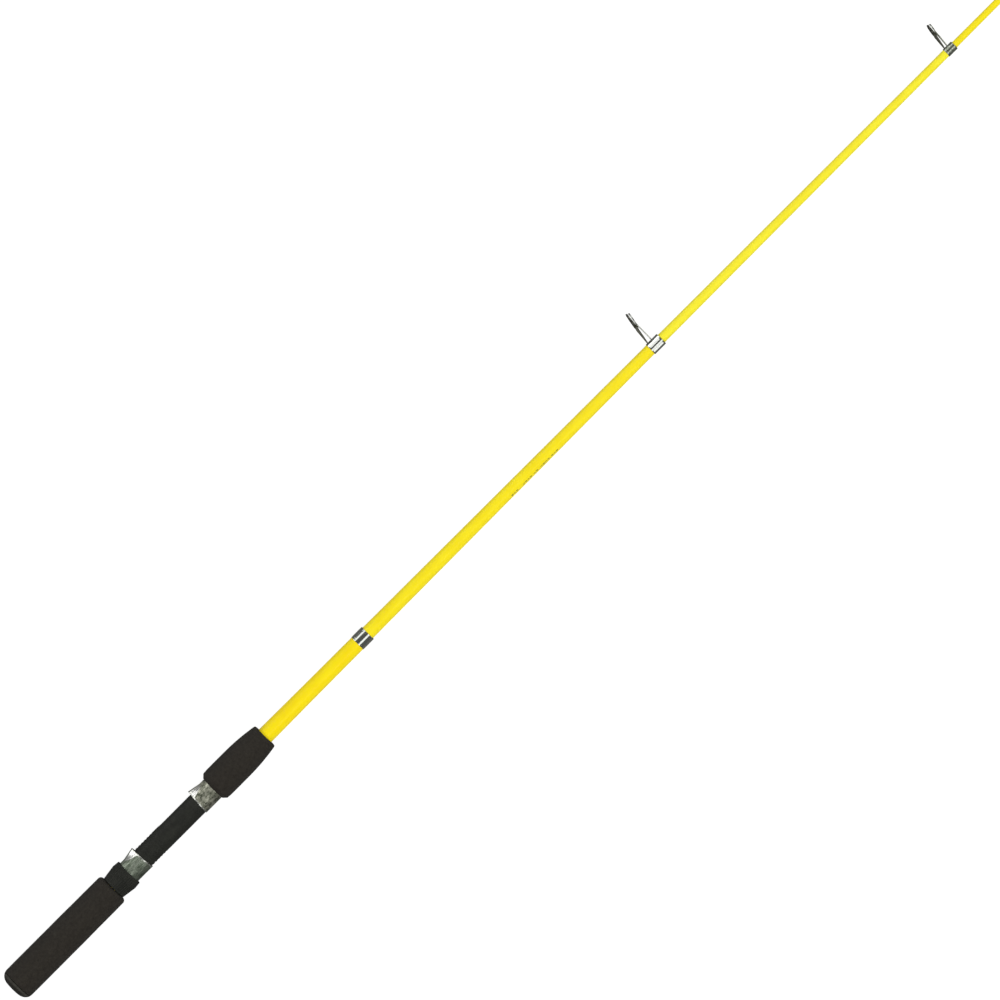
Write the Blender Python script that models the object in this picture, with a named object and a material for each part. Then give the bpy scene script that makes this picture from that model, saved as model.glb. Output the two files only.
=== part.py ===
"""Five-section telescopic spinning rod, pulled out to its full length.

The rod lies along +X, from the butt cap's end face at x = 0 to the tip-top. The guides and the bed for
the reel's foot are on the +Y side. Every size is in millimetres and becomes metres as a mesh is made.
An angle round the rod starts at +Y and turns towards +Z.
"""

from dataclasses import dataclass
from math import acos, atan2, ceil, cos, floor, inf, pi, radians, sin, sqrt, tan

import bmesh
import bpy
from mathutils import Matrix, Vector

MM = 0.001

# Facets round the axis. Tubes that slide in each other share their facets, so their flats stay parallel.
TUBE_FACETS = 20
GRIP_FACETS = 28
SEAT_FACETS = 24
RING_FACETS = 20

# Clearances
GLUE_GAP = 0.1
SLIDE_GAP = 0.1
TOUCH_GAP = 0.3
THREAD_GAP = 0.25

# Butt cap, its bushing and the foam pad against rattle
CAP_FLANGE = 5.5
CAP_FACE_RADIUS = 5.8
DOME_LENGTH = 7.5
CAP_BASE = 3.5
PLUG_END = 15.5
PLUG_HOLLOW = 5.7
PAD_RADIUS = 5.3
PAD_END = 22.0
BUSHING_END = 30.0
BUSHING_RADIUS = 9.6
BUSHING_SHOULDER = 17.2

# Grips
GRIP_RADIUS = 14.0
GRIP_FRONT_RADIUS = 13.75
GRIP_EDGE = 3.0
REAR_GRIP_END = 111.0
FOREGRIP_START = 221.0
FOREGRIP_END = 278.6
FOREGRIP_RADIUS = 13.7
FOREGRIP_REAR_RADIUS = 10.7
FOREGRIP_CHAMFER = 2.8
FOREGRIP_TAPER_START = 248.0
FOREGRIP_DROP = 2.3
FOREGRIP_EDGE = 2.0

# Reel seat
BARREL_START = REAR_GRIP_END + TOUCH_GAP
BARREL_END = 233.0
BARREL_RADIUS = 9.2
BARREL_ROOT = 8.45
BARREL_BORE = 7.75
THREAD_END = 165.0
BED_START = 170.0
BED_HOOD_EDGE = 204.7
BED_END = 217.0
BED_HEIGHT = 8.85
BED_RELIEF = 0.2
ARBOR_LENGTH = 26.0
ARBOR_INSET = 4.0

# Hoods of the reel seat
HOOD_BORE = 9.4
HOOD_WALL = 0.48
POCKET_RISE = 1.95
POCKET_LENGTH = 10.5
POCKET_HALF_ANGLE = radians(58.0)
HOOD_LIP = 1.5
SLIDING_HOOD_REAR = 124.6
SLIDING_HOOD_MOUTH = 143.3
FIXED_HOOD_MOUTH = 205.5

# Lock nut
NUT_START = REAR_GRIP_END + TOUCH_GAP
NUT_END = 128.5
NUT_CREST = 122.9
NUT_REAR_RADIUS = 10.5
NUT_CREST_RADIUS = 12.2
NUT_FRONT_RADIUS = 11.65
NUT_EDGE = 0.4
NUT_BORE = 9.6
NUT_COUNTERBORE = 10.2
NUT_SHOULDER = 124.2

# Handle section of the blank, as (station, outer radius) along its length
HANDLE_BLANK_START = 17.8
HANDLE_BLANK = ((HANDLE_BLANK_START, 7.0), (220.0, 7.0), (286.0, 6.9), (325.0, 6.65), (380.6, 6.4))
HANDLE_BORE = 6.05
FERRULE_START = 380.6
FERRULE_END = 392.1
FERRULE_RADIUS = 6.75

# Collars
COLLAR_EDGE = 0.25
COLLAR_LIP = 0.5
LIP_GAP = 0.15

# Guides: a stamped frame that leans towards the tip, a ring pressed into it and a forked brace behind
LEAN = radians(10.5)
PLATE = 0.9
STEM_HALF_WIDTH = 1.4
STEM_SPREAD = radians(38.0)
FOOT_INSET = 0.9
RING_LENGTH = 3.0
RING_PRESS_GAP = 0.15
RING_FLARE = 0.45
BRACE_THICKNESS = 0.6
BRACE_LEG = 0.45
BRACE_FOOT = 1.5
BRACE_CROTCH = 0.22
BRACE_SPREAD = radians(43.0)

# Colour, roughness and metallic value of each finish
FINISHES = {
    "yellow_lacquer": ((0.93, 0.72, 0.02), 0.18, 0.0),
    "black_foam": ((0.022, 0.020, 0.017), 0.85, 0.0),
    "grey_foam": ((0.20, 0.20, 0.20), 0.9, 0.0),
    "black_plastic": ((0.018, 0.019, 0.015), 0.45, 0.0),
    "polished_steel": ((0.62, 0.63, 0.60), 0.16, 1.0),
    "chrome": ((0.75, 0.75, 0.74), 0.07, 1.0),
    "dark_ceramic": ((0.05, 0.05, 0.045), 0.15, 0.0),
}


@dataclass(frozen=True)
class Thread:
    """A right-hand thread: its pitch, and the (share of the pitch, radius) corners of one turn."""

    pitch: float
    profile: tuple

    def widened(self, gap):
        """The nut's side of the thread, parallel to it and further from the axis."""
        return Thread(self.pitch, tuple((share, radius + gap) for share, radius in self.profile))


SEAT_THREAD = Thread(3.0, ((0.0, BARREL_ROOT), (0.5, BARREL_RADIUS)))
CAP_THREAD = Thread(2.0, ((0.0, 7.2), (0.5, 7.75)))


@dataclass(frozen=True)
class Guide:
    """One line guide on its collar. The ring's height is measured from the rod's axis."""

    name: str
    collar_radius: float
    ring_height: float
    frame_radius: float
    hole_radius: float
    bore_radius: float
    foot_along: float
    braced: bool = True


@dataclass(frozen=True)
class Section:
    """A sliding section: where its tube starts and ends, and where its guide's collar sits."""

    name: str
    base: float
    exposed: float
    exposed_radius: float
    collar_start: float
    collar_end: float
    collar_inner_radius: float
    guide: Guide

    def radius(self, x):
        """Outer radius of the tube at a station, from its straight taper."""
        slope = (self.collar_inner_radius - self.exposed_radius) / (self.collar_start - self.exposed)
        return self.exposed_radius + slope * (x - self.exposed)


SECTIONS = (
    Section("section_2", 362.0, 392.1, 5.8, 704.3, 716.3, 4.7,
            Guide("guide_1", 5.25, 26.0, 7.3, 6.0, 5.2, 0.0)),
    Section("section_3", 686.0, 716.3, 4.0, 1030.8, 1039.8, 3.3,
            Guide("guide_2", 3.8, 20.9, 5.2, 4.35, 3.7, 0.0)),
    Section("section_4", 1012.0, 1039.8, 2.8, 1354.2, 1362.0, 2.2,
            Guide("guide_3", 2.65, 17.0, 4.5, 3.75, 3.3, 0.0)),
    Section("section_5", 1336.0, 1362.0, 1.65, 1661.0, 1674.0, 0.95,
            Guide("tip_top", 1.5, 5.4, 3.5, 2.75, 2.2, 10.6, braced=False)),
)


# Bodies and finishes

def carrier(name, station, parent=None):
    """Empty on the rod's axis that carries one moving body."""
    empty = bpy.data.objects.new(name, None)
    bpy.context.collection.objects.link(empty)
    empty.location.x = station * MM
    if parent:
        hang(empty, parent)
    return empty, station


def hang(obj, body):
    """Parents an object to a body's empty and leaves it where it is."""
    empty, station = body
    obj.parent = empty
    obj.matrix_parent_inverse = Matrix.Translation((-station * MM, 0.0, 0.0))


def paint(obj, finish):
    """Gives the object its own Principled material."""
    colour, roughness, metallic = FINISHES[finish]
    material = bpy.data.materials.new(f"{obj.name}_{finish}")
    material.use_nodes = True
    shader = material.node_tree.nodes["Principled BSDF"]
    shader.inputs["Base Color"].default_value = (*colour, 1.0)
    shader.inputs["Roughness"].default_value = roughness
    shader.inputs["Metallic"].default_value = metallic
    material.diffuse_color = (*colour, 1.0)
    obj.data.materials.append(material)


def solid(name, bm, body, finish, origin=(0.0, 0.0, 0.0), turn=0.0):
    """Makes the node's object from a closed mesh, with its origin placed and turned about Z."""
    bmesh.ops.recalc_face_normals(bm, faces=bm.faces)
    mesh = bpy.data.meshes.new(name)
    bm.to_mesh(mesh)
    bm.free()
    mesh.shade_smooth()
    mesh.set_sharp_from_angle(angle=radians(32.0))
    obj = bpy.data.objects.new(name, mesh)
    bpy.context.collection.objects.link(obj)
    obj.location = Vector(origin) * MM
    obj.rotation_euler.z = turn
    hang(obj, body)
    paint(obj, finish)
    return obj


# Turned pieces

def arc(centre_x, centre_r, radius, start, end, steps):
    """Points of an arc in the outline's plane, with angles in degrees from +X towards +radius."""
    angles = [radians(start + (end - start) * step / steps) for step in range(steps + 1)]
    return [(centre_x + radius * cos(angle), centre_r + radius * sin(angle)) for angle in angles]


def ring(bm, facets, place):
    """A ring of vertices round the X axis, where place(angle) gives (x, radius). A pole is one vertex."""
    angles = [2.0 * pi * step / facets for step in range(facets)]
    if place(0.0)[1] == 0.0:
        return [bm.verts.new((place(0.0)[0] * MM, 0.0, 0.0))] * facets
    vertices = []
    for angle in angles:
        x, radius = place(angle)
        vertices.append(bm.verts.new(Vector((x, radius * cos(angle), radius * sin(angle))) * MM))
    return vertices


def skin(bm, ring_a, ring_b):
    """Faces between two rings. A pole makes them triangles, and two poles make none."""
    count = len(ring_a)
    for step in range(count):
        after = (step + 1) % count
        corners = list(dict.fromkeys((ring_a[step], ring_a[after], ring_b[after], ring_b[step])))
        if len(corners) > 2:
            bm.faces.new(corners)


def zip_columns(bm, near, far):
    """Triangles between two neighbouring columns of (place, vertex), each in order of place."""
    i = j = 0
    while i < len(near) - 1 or j < len(far) - 1:
        near_is_next = j == len(far) - 1 or (i < len(near) - 1 and near[i + 1][0] <= far[j + 1][0])
        if near_is_next:
            bm.faces.new((near[i][1], near[i + 1][1], far[j][1]))
            i += 1
        else:
            bm.faces.new((near[i][1], far[j + 1][1], far[j][1]))
            j += 1


def thread_skin(bm, ring_a, ring_b, thread, margin=0.15):
    """A thread between two plain rings. Each facet line carries the thread's corners one after the
    other, moved along X by its share of the pitch, so the crest runs as a true helix."""
    low, high = sorted((ring_a, ring_b), key=lambda vertices: vertices[0].co.x)
    x_low = low[0].co.x / MM + margin
    x_high = high[0].co.x / MM - margin
    facets = len(low)
    corners = len(thread.profile)
    columns = []
    for step in range(facets):
        angle = 2.0 * pi * step / facets
        lead = thread.pitch * step / facets
        column = [(-inf, low[step])]
        first = floor((x_low - lead) / thread.pitch)
        last = ceil((x_high - lead) / thread.pitch)
        for turn in range(first, last + 1):
            for corner, (share, radius) in enumerate(thread.profile):
                x = (turn + share) * thread.pitch + lead
                if x_low < x < x_high:
                    point = Vector((x, radius * cos(angle), radius * sin(angle))) * MM
                    column.append((turn * corners + corner, bm.verts.new(point)))
        column.append((inf, high[step]))
        columns.append(column)
    closing = [(place - corners, vertex) for place, vertex in columns[0]]
    for near, far in zip(columns, columns[1:] + [closing]):
        zip_columns(bm, near, far)


def turned(name, outline, body, finish, facets=TUBE_FACETS, threads=None, **placing):
    """A body turned round X from a closed outline of (x, radius) corners. threads maps a corner to the
    thread on the edge that follows it."""
    bm = bmesh.new()
    rings = [ring(bm, facets, lambda angle, corner=corner: corner) for corner in outline]
    for index, vertices in enumerate(rings):
        following = rings[(index + 1) % len(rings)]
        if threads and index in threads:
            thread_skin(bm, vertices, following, threads[index])
        else:
            skin(bm, vertices, following)
    return solid(name, bm, body, finish, **placing)


# Handle

def butt_radius(x):
    """Outer radius of the rounded butt end, whose curve runs over the cap and on to the rear grip."""
    share = (DOME_LENGTH - x) / DOME_LENGTH
    return CAP_FACE_RADIUS + (GRIP_RADIUS - CAP_FACE_RADIUS) * sqrt(1.0 - share ** 2)


def butt_cap(body):
    """Screw cap with a rounded end and a hollow threaded plug."""
    steps = 6
    sweep = acos(1.0 - CAP_FLANGE / DOME_LENGTH)
    stations = [DOME_LENGTH * (1.0 - cos(sweep * step / steps)) for step in range(steps + 1)]
    outline = [(0.0, 0.0), *((x, butt_radius(x)) for x in stations), (CAP_FLANGE, 7.3)]
    thread_from = len(outline) - 1
    outline += [(PLUG_END, 7.1), (PLUG_END, PLUG_HOLLOW), (CAP_BASE, PLUG_HOLLOW), (CAP_BASE, 0.0)]
    turned("butt_cap", outline, body, "black_plastic", GRIP_FACETS, {thread_from: CAP_THREAD})


def rattle_pad(body):
    """Foam plug in the cap that the nested sections rest against."""
    start = CAP_BASE + TOUCH_GAP
    outline = [(start, 0.0), (start, PAD_RADIUS), (PAD_END - 1.0, PAD_RADIUS),
               (PAD_END, PAD_RADIUS - 1.0), (PAD_END, 0.0)]
    turned("rattle_pad", outline, body, "grey_foam")


def butt_bushing(body):
    """Bushing glued over the blank's end, threaded inside for the cap."""
    start = CAP_FLANGE + 2.0 * TOUCH_GAP
    mouth = CAP_THREAD.profile[1][1] + 2.0 * THREAD_GAP
    outline = [(start, BUSHING_RADIUS), (BUSHING_END, BUSHING_RADIUS),
               (BUSHING_END, HANDLE_BLANK[0][1] + GLUE_GAP),
               (BUSHING_SHOULDER, HANDLE_BLANK[0][1] + GLUE_GAP), (BUSHING_SHOULDER, mouth), (start, mouth)]
    thread = {4: CAP_THREAD.widened(THREAD_GAP)}
    turned("butt_bushing", outline, body, "black_plastic", GRIP_FACETS, thread)


def rear_grip(body):
    """Foam grip behind the reel seat, counterbored for the bushing."""
    start = CAP_FLANGE + TOUCH_GAP
    bore = HANDLE_BLANK[0][1] + GLUE_GAP
    socket = BUSHING_RADIUS + GLUE_GAP
    edge = arc(REAR_GRIP_END - GRIP_EDGE, GRIP_FRONT_RADIUS - GRIP_EDGE, GRIP_EDGE, 90.0, 0.0, 4)
    outline = [(start, socket), (start, butt_radius(start)), (DOME_LENGTH, GRIP_RADIUS),
               (60.0, GRIP_RADIUS), *edge, (REAR_GRIP_END, bore),
               (BUSHING_END + TOUCH_GAP, bore), (BUSHING_END + TOUCH_GAP, socket)]
    turned("rear_grip", outline, body, "black_foam", GRIP_FACETS)


def foregrip(body):
    """Foam grip ahead of the reel seat: chamfered behind, tapering to a small rounded front edge."""
    bore = HANDLE_BLANK[0][1] + GLUE_GAP
    socket = HOOD_BORE + HOOD_WALL + GLUE_GAP
    taper_end = FOREGRIP_END - FOREGRIP_EDGE
    steps = 6
    taper = []
    for step in range(steps + 1):
        share = step / steps
        radius = FOREGRIP_RADIUS - FOREGRIP_DROP * share ** 1.8
        taper.append((FOREGRIP_TAPER_START + share * (taper_end - FOREGRIP_TAPER_START), radius))
    edge = arc(taper_end, taper[-1][1] - FOREGRIP_EDGE, FOREGRIP_EDGE, 90.0, 0.0, 3)
    outline = [(FOREGRIP_START, socket), (FOREGRIP_START, FOREGRIP_REAR_RADIUS),
               (FOREGRIP_START + FOREGRIP_CHAMFER, FOREGRIP_RADIUS - 0.3),
               (FOREGRIP_START + 2.5 * FOREGRIP_CHAMFER, FOREGRIP_RADIUS), *taper, *edge[1:],
               (FOREGRIP_END, bore), (BARREL_END + TOUCH_GAP, bore), (BARREL_END + TOUCH_GAP, socket)]
    turned("foregrip", outline, body, "black_foam", GRIP_FACETS)


def reel_seat_barrel(body):
    """Moulded barrel, threaded behind, with a flat bed for the reel's foot on its +Y side. The front
    end of the bed lies under the fixed hood, and is a little lower there."""
    edge = 1.2
    step_end = BED_HOOD_EDGE + 0.4
    outline = [(BARREL_START, BARREL_BORE), (BARREL_START, BARREL_ROOT), (THREAD_END, BARREL_RADIUS),
               (BED_START - edge, BARREL_RADIUS), (BED_START, BARREL_RADIUS),
               (BED_HOOD_EDGE, BARREL_RADIUS), (step_end, BARREL_RADIUS), (BED_END, BARREL_RADIUS),
               (BED_END + edge, BARREL_RADIUS), (BARREL_END, BARREL_RADIUS), (BARREL_END, BARREL_BORE)]
    barrel = turned("reel_seat_barrel", outline, body, "black_plastic", SEAT_FACETS, {1: SEAT_THREAD})
    for vertex in barrel.data.vertices:
        station = vertex.co.x / MM
        if BED_START - 0.1 < station < BED_END + 0.1:
            depth = BED_RELIEF if station > step_end - 0.1 else 0.0
            vertex.co.y = min(vertex.co.y, (BED_HEIGHT - depth) * MM)


def arbor(name, start, body):
    """Shim ring that centres the barrel on the blank."""
    inner = HANDLE_BLANK[0][1] + GLUE_GAP
    outer = BARREL_BORE * cos(pi / SEAT_FACETS) - GLUE_GAP
    outline = [(start, inner), (start, outer), (start + ARBOR_LENGTH, outer), (start + ARBOR_LENGTH, inner)]
    turned(name, outline, body, "grey_foam")


def hood(name, mouth, back, body):
    """Sheet-metal hood: a tube that swells on its +Y side into a pocket for the tip of the reel's foot.
    The mouth's lower lip stands further out than its upper one."""
    length = abs(mouth - back)
    facing = 1.0 if mouth > back else -1.0

    def place(depth, radius):
        def at(angle):
            off_top = abs(atan2(sin(angle), cos(angle)))
            lip = HOOD_LIP * (1.0 - cos(angle)) / 2.0
            x = back + facing * (length + lip) * (1.0 - depth / length)
            ramp = max(0.0, 1.0 - depth / POCKET_LENGTH)
            bump = cos(0.5 * pi * min(off_top / POCKET_HALF_ANGLE, 1.0)) ** 2
            return x, radius + POCKET_RISE * ramp * bump
        return at

    depths = [0.0, 3.5, 7.0, POCKET_LENGTH, length]
    outer = [place(depth, HOOD_BORE + HOOD_WALL) for depth in depths]
    inner = [place(depth, HOOD_BORE) for depth in reversed(depths)]
    bm = bmesh.new()
    rings = [ring(bm, GRIP_FACETS, at) for at in outer + inner]
    for vertices, following in zip(rings, rings[1:] + rings[:1]):
        skin(bm, vertices, following)
    solid(name, bm, body, "polished_steel")


def lock_nut(body):
    """Nut that widens to a crest near its front, threaded inside, with a counterbore that holds the
    sliding hood's skirt."""
    outline = [(NUT_START, NUT_BORE), (NUT_START, NUT_REAR_RADIUS - NUT_EDGE),
               (NUT_START + NUT_EDGE, NUT_REAR_RADIUS), (NUT_CREST - 1.2, NUT_CREST_RADIUS - 0.12),
               (NUT_CREST, NUT_CREST_RADIUS), (NUT_CREST + 1.2, NUT_CREST_RADIUS - 0.08),
               (NUT_END - NUT_EDGE, NUT_FRONT_RADIUS), (NUT_END, NUT_FRONT_RADIUS - NUT_EDGE),
               (NUT_END, NUT_COUNTERBORE), (NUT_SHOULDER, NUT_COUNTERBORE), (NUT_SHOULDER, NUT_BORE)]
    thread = {len(outline) - 1: SEAT_THREAD.widened(THREAD_GAP)}
    turned("lock_nut", outline, body, "black_plastic", SEAT_FACETS, thread)


def handle_blank(body):
    """Thickest tube of the rod, which runs through the whole handle."""
    inner = SECTIONS[0]
    tip = FERRULE_END - COLLAR_LIP - TOUCH_GAP
    outline = [*HANDLE_BLANK, (tip, HANDLE_BLANK[-1][1]), (tip, inner.radius(tip) + SLIDE_GAP),
               (inner.base, inner.radius(inner.base) + SLIDE_GAP), (inner.base - 6.0, HANDLE_BORE),
               (HANDLE_BLANK_START, HANDLE_BORE)]
    turned("section_1_blank", outline, body, "yellow_lacquer")


def collar(name, start, end, radius, seat, throat, body):
    """Chromed tube on the end of a section, with a lip that leaves room for the next section."""
    outline = [(start, seat), (start, radius - COLLAR_EDGE), (start + COLLAR_EDGE, radius),
               (end - COLLAR_EDGE, radius), (end, radius - COLLAR_EDGE), (end, throat),
               (end - COLLAR_LIP, throat), (end - COLLAR_LIP, seat)]
    turned(name, outline, body, "chrome")


# Sliding sections and their guides

def section_tube(section, following, body):
    """Hollow section whose bore follows the taper of the section inside it."""
    tip = section.collar_end - COLLAR_LIP - TOUCH_GAP
    bore = following.radius(following.base) + SLIDE_GAP
    outline = [(section.base, section.radius(section.base)), (tip, section.radius(tip)),
               (tip, following.radius(tip) + SLIDE_GAP), (following.base, bore), (section.base, bore)]
    turned(f"{section.name}_blank", outline, body, "yellow_lacquer")


def section_rod(section, body):
    """Solid tip section."""
    tip = section.collar_end - COLLAR_LIP - TOUCH_GAP
    outline = [(section.base, 0.0), (section.base, section.radius(section.base)),
               (tip, section.radius(tip)), (tip, 0.0)]
    turned(f"{section.name}_blank", outline, body, "yellow_lacquer")


def guide_frame(guide, centre, stem, body):
    """Flat stamped frame: a ring holder that narrows into one stem. Its outline is star-shaped about
    the ring's centre, so each corner of the hole lies on the same ray as one of the outline."""
    shoulder_z = guide.frame_radius * sin(STEM_SPREAD)
    shoulder_y = -guide.frame_radius * cos(STEM_SPREAD)
    foot_angle = atan2(STEM_HALF_WIDTH, stem)
    angles = [step * 2.0 * pi / SEAT_FACETS for step in range(1, SEAT_FACETS)]
    angles = sorted(angles + [foot_angle, 2.0 * pi - foot_angle])
    bm = bmesh.new()
    loops = [[], [], [], []]
    for angle in angles:
        from_stem = min(angle, 2.0 * pi - angle)
        ray = Vector((0.0, -cos(angle), sin(angle)))
        if from_stem >= STEM_SPREAD:
            reach = guide.frame_radius
        elif from_stem > foot_angle:
            run_y = -stem - shoulder_y
            run_z = STEM_HALF_WIDTH - shoulder_z
            reach = shoulder_z * run_y - shoulder_y * run_z
            reach /= sin(from_stem) * run_y + cos(from_stem) * run_z
        else:
            reach = sqrt(stem ** 2 + STEM_HALF_WIDTH ** 2)
        for loop, side, length in zip(loops, (-0.5, -0.5, 0.5, 0.5),
                                      (guide.hole_radius, reach, reach, guide.hole_radius)):
            loop.append(bm.verts.new((ray * length + Vector((side * PLATE, 0.0, 0.0))) * MM))
    for loop, following in zip(loops, loops[1:] + loops[:1]):
        skin(bm, loop, following)
    solid(f"{guide.name}_frame", bm, body, "chrome", origin=centre, turn=-LEAN)


def guide_ring(guide, centre, body):
    """Line ring with two flanges, which hold it in the frame's hole."""
    half = RING_LENGTH / 2.0
    cheek = PLATE / 2.0 + RING_PRESS_GAP
    groove = guide.hole_radius - RING_PRESS_GAP
    flange = (guide.hole_radius + guide.frame_radius) / 2.0 - RING_PRESS_GAP
    mouth = guide.bore_radius + RING_FLARE * (groove - guide.bore_radius)
    outline = [(-half, mouth), (0.0, guide.bore_radius), (half, mouth), (half, flange), (cheek, flange),
               (cheek, groove),
               (-cheek, groove), (-cheek, flange), (-half, flange)]
    turned(f"{guide.name}_ring", outline, body, "dark_ceramic", RING_FACETS, origin=centre, turn=-LEAN)


def guide_brace(guide, centre, foot, body):
    """Forked brace that runs from the collar's middle up to both sides of the frame's lower edge."""
    rim = (guide.hole_radius + guide.frame_radius) / 2.0 + 0.25
    top = Vector((PLATE / 2.0 + TOUCH_GAP, -rim * cos(BRACE_SPREAD), 0.0))
    spread = rim * sin(BRACE_SPREAD)
    base = Matrix.Rotation(LEAN, 3, "Z") @ (Vector(foot) - Vector(centre))
    run = top - base
    normal = Vector((-run.y, run.x, 0.0)).normalized() * BRACE_THICKNESS
    bm = bmesh.new()

    def corner(share, z):
        point = base + run * share + Vector((0.0, 0.0, z))
        return [bm.verts.new((point + normal * side) * MM) for side in (0.0, -1.0)]

    left, right = corner(0.0, -BRACE_FOOT), corner(0.0, BRACE_FOOT)
    crotch = corner(BRACE_CROTCH, 0.0)
    outline = [left, right, corner(1.0, spread + BRACE_LEG), corner(1.0, spread - BRACE_LEG), crotch,
               corner(1.0, BRACE_LEG - spread), corner(1.0, -spread - BRACE_LEG)]
    patches = ((0, 1, 4), (1, 2, 3, 4), (4, 5, 6, 0))
    for side in (0, 1):
        for patch in patches:
            bm.faces.new([outline[index][side] for index in patch])
    for (near, far), (next_near, next_far) in zip(outline, outline[1:] + outline[:1]):
        bm.faces.new((near, next_near, next_far, far))
    solid(f"{guide.name}_brace", bm, body, "chrome", origin=centre, turn=-LEAN)


def guide_set(section, body):
    """Frame, ring and brace of one guide, standing on its collar."""
    guide = section.guide
    foot_x = section.collar_start + FOOT_INSET + guide.foot_along
    foot_y = guide.collar_radius + TOUCH_GAP
    rise = guide.ring_height - foot_y
    stem = rise / cos(LEAN)
    centre = (foot_x + rise * tan(LEAN), guide.ring_height, 0.0)
    guide_frame(guide, centre, stem, body)
    guide_ring(guide, centre, body)
    if guide.braced:
        brace_foot = ((section.collar_start + section.collar_end) / 2.0, foot_y, 0.0)
        guide_brace(guide, centre, brace_foot, body)


def make_handle():
    handle = carrier("handle", 0.0)
    handle_blank(handle)
    collar("section_1_ferrule", FERRULE_START, FERRULE_END, FERRULE_RADIUS,
           HANDLE_BLANK[-1][1] + GLUE_GAP, SECTIONS[0].exposed_radius + LIP_GAP, handle)
    rear_grip(handle)
    foregrip(handle)
    reel_seat_barrel(handle)
    arbor("rear_arbor", BARREL_START + ARBOR_INSET, handle)
    arbor("front_arbor", BARREL_END - ARBOR_INSET - ARBOR_LENGTH, handle)
    hood("fixed_hood", FIXED_HOOD_MOUTH, BARREL_END, handle)
    butt_bushing(handle)
    slide = carrier("hood_slide", SLIDING_HOOD_REAR, handle)
    hood("sliding_hood", SLIDING_HOOD_MOUTH, SLIDING_HOOD_REAR, slide)
    lock_nut(carrier("nut_spin", NUT_START, slide))
    cap_slide = carrier("butt_cap_slide", CAP_FLANGE, handle)
    rattle_pad(cap_slide)
    butt_cap(carrier("butt_cap_spin", CAP_FLANGE, cap_slide))
    return handle


def make_sections(handle):
    body = handle
    for section, following in zip(SECTIONS, SECTIONS[1:] + (None,)):
        body = carrier(f"{section.name}_slide", section.base, body)
        if following:
            section_tube(section, following, body)
            throat = following.exposed_radius + LIP_GAP
            name = f"{section.guide.name}_collar"
        else:
            section_rod(section, body)
            throat = section.collar_inner_radius / 2.0
            name = f"{section.guide.name}_tube"
        collar(name, section.collar_start, section.collar_end, section.guide.collar_radius,
               section.collar_inner_radius + GLUE_GAP, throat, body)
        guide_set(section, body)


for existing in list(bpy.data.objects):
    bpy.data.objects.remove(existing)
make_sections(make_handle())
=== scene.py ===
"""Looks of the telescopic spinning rod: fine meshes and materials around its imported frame.

Shapes and textures are in millimetres, and the floor, the lights and the camera in metres. Stations run
along +X from the butt. The guides are on the +Y side, and an angle round the rod starts at +Y and turns
towards +Z.
"""

from math import acos, atan2, cos, pi, radians, sin, tan

import bmesh
import bpy
import numpy as np
from mathutils import Matrix, Vector


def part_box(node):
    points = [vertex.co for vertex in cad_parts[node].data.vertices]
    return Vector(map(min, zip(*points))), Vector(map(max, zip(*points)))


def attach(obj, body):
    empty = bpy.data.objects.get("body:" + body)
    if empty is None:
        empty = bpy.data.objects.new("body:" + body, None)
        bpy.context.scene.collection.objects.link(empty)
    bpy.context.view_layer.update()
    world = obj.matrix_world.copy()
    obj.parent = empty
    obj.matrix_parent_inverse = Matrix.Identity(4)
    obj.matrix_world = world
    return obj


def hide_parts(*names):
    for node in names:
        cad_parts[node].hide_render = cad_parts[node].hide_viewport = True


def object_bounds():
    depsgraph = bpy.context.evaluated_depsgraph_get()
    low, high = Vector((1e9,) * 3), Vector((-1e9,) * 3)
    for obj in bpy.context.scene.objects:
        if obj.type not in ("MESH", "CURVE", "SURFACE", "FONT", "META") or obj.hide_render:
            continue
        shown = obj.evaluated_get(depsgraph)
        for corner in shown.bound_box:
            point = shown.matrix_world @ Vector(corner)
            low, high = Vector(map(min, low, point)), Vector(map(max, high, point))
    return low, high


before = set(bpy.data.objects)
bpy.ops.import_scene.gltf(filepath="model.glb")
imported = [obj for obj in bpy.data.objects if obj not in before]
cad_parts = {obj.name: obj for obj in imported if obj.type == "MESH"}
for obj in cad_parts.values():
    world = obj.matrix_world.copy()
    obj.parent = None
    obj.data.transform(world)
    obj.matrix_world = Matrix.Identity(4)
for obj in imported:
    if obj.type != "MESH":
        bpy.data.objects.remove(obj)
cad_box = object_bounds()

MM = 0.001
FULL_TURN = 2.0 * pi

# Clearances
GLUE_GAP = 0.1
SLIDE_GAP = 0.1
TOUCH_GAP = 0.3

# Butt cap with its screwed plug, and the rear grip's socket for the bushing
CAP_FACE_RADIUS = 5.8
CAP_BASE = 3.5
DOME_LENGTH = 7.5
PLUG_RADIUS = 7.45
PLUG_HOLLOW = 5.7
PLUG_THREAD_DEPTH = 0.3
PLUG_PITCH = 2.0
SOCKET_RADIUS = 9.75
SOCKET_END = 30.3

# Grips. The foregrip's drops are measured from its full radius
GRIP_RADIUS = 14.0
GRIP_TAPER_START = 60.0
GRIP_FRONT_RADIUS = 13.75
GRIP_EDGE = 3.0
FOREGRIP_CHAMFER = 2.8
FOREGRIP_REAR_DROP = 3.0
FOREGRIP_TAPER_START = 248.0
FOREGRIP_DROP = 2.3
FOREGRIP_EDGE = 2.0

# Barrel of the reel seat, with its thread and the flat bed for the reel's foot
BARREL_RADIUS = 9.2
BARREL_BORE = 7.75
THREAD_DEPTH = 0.24
THREAD_PITCH = 3.0
THREAD_END = 165.0
BED_START = 170.0
BED_END = 217.0
BED_HEIGHT = 8.85
BED_HOOD_EDGE = 204.7
BED_RELIEF = 0.2

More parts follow.
